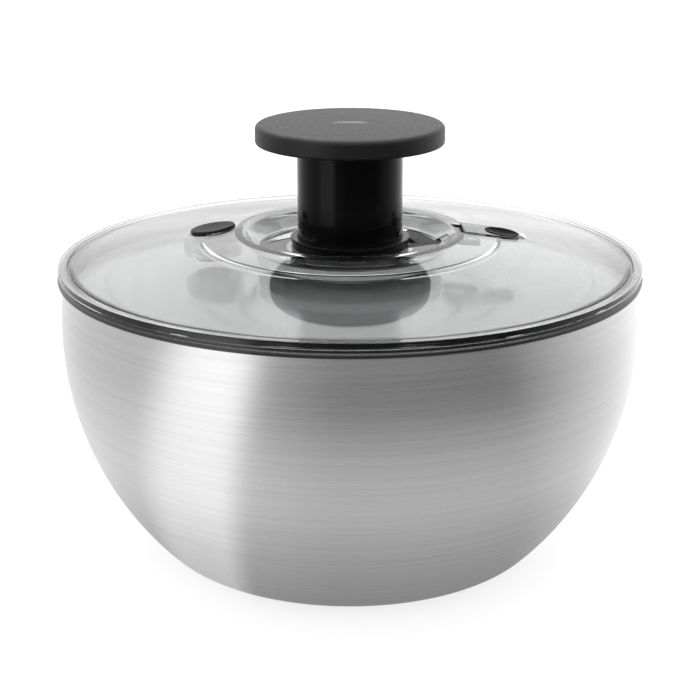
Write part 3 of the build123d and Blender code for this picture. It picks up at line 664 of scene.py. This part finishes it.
def build_floor():
    """Pale floor: evenly white to the eye, and shaded like the studio where it lights things, with
    a painted shadow round the bowl's foot.
    """
    bpy.ops.mesh.primitive_circle_add(vertices=96, radius=6.0, fill_type="NGON")
    floor = bpy.context.object
    floor.name = "studio_floor"
    mat = bpy.data.materials.new("studio_floor")
    mat.use_nodes = True
    t = Tree(mat.node_tree)
    where = t.node("ShaderNodeTexCoord").outputs["Object"]
    length = t.node("ShaderNodeVectorMath", where, operation="LENGTH").outputs["Value"]
    far = t.node("ShaderNodeMapRange", length, 0.16, 0.50, 0.0, 1.0,
                 interpolation_type="SMOOTHSTEP")
    walls = t.walls(where)
    near = t.maths("ADD", t.maths("MULTIPLY", walls, FLOOR_WALLS), FLOOR_NEAR / RAMP_TOP)
    # painted shadow: the floor's light is dimmed to half at the bowl's foot, standing in for the
    # shadow the bowl would cast
    foot = t.node("ShaderNodeMapRange", length, 0.085, 0.17, 0.5, 1.0)
    tone = t.node("ShaderNodeMix", data_type="RGBA")
    t.tree.links.new(far.outputs["Result"], tone.inputs[0])
    t.tree.links.new(t.maths("MULTIPLY", near, foot.outputs["Result"]), tone.inputs[6])
    t.tree.links.new(walls, tone.inputs[7])
    unseen = t.node("ShaderNodeEmission", tone.outputs[2], RAMP_TOP)
    seen = t.node("ShaderNodeAddShader",
                  t.node("ShaderNodeEmission", (1, 1, 1, 1), FLOOR_SEEN * 0.8).outputs[0],
                  t.node("ShaderNodeBsdfDiffuse", (0.3, 0.3, 0.3, 1)).outputs[0])
    eye = t.node("ShaderNodeLightPath").outputs["Is Camera Ray"]
    both = t.node("ShaderNodeMixShader", eye, unseen.outputs[0], seen.outputs[0])
    t.tree.links.new(both.outputs[0], t.tree.nodes["Material Output"].inputs["Surface"])
    floor.data.materials.append(mat)


def build_world():
    world = bpy.data.worlds.new("studio")
    bpy.context.scene.world = world
    world.use_nodes = True
    t = Tree(world.node_tree)
    where = t.node("ShaderNodeTexCoord").outputs["Generated"]
    height = t.node("ShaderNodeSeparateXYZ", where).outputs["Z"]
    high = t.node("ShaderNodeMapRange", height, 0.12, 0.42, 0.0, 1.0,
                  interpolation_type="SMOOTHSTEP")
    mix = t.node("ShaderNodeMix", data_type="RGBA")
    t.tree.links.new(high.outputs["Result"], mix.inputs[0])
    t.tree.links.new(t.walls(where), mix.inputs[6])
    mix.inputs[7].default_value = (SKY_LIT,) * 3 + (1,)
    eye = t.node("ShaderNodeLightPath").outputs["Is Camera Ray"]
    shown = t.node("ShaderNodeMix", data_type="RGBA")
    t.tree.links.new(eye, shown.inputs[0])
    t.tree.links.new(mix.outputs[2], shown.inputs[6])
    shown.inputs[7].default_value = (SKY_SEEN,) * 3 + (1,)
    back = t.tree.nodes["Background"]
    t.tree.links.new(shown.outputs[2], back.inputs["Color"])
    back.inputs["Strength"].default_value = RAMP_TOP


def softbox(name, at, size, watts, target=(0, 0, 0.12)):
    data = bpy.data.lights.new(name, "AREA")
    data.shape, data.size, data.size_y, data.energy = "RECTANGLE", size[0], size[1], watts
    lamp = bpy.data.objects.new(name, data)
    lamp.location = at
    lamp.rotation_euler = (Vector(target) - Vector(at)).to_track_quat("-Z", "Y").to_euler()
    lamp.visible_camera = False
    bpy.context.scene.collection.objects.link(lamp)


def build_camera():
    data = bpy.data.cameras.new("camera")
    data.sensor_width, data.lens = 36.0, 88.4
    data.clip_start, data.clip_end = 0.05, 50
    camera = bpy.data.objects.new("camera", data)
    camera.location = (0, -0.776, 0.344)
    camera.rotation_euler = (radians(72.22), 0, 0)
    bpy.context.scene.collection.objects.link(camera)
    bpy.context.scene.camera = camera


build_floor()
build_world()
softbox("top_box", (0, 0.3, 1.4), (1.6, 1.2), 14)
build_camera()
bpy.context.scene.view_settings.view_transform = "Standard"
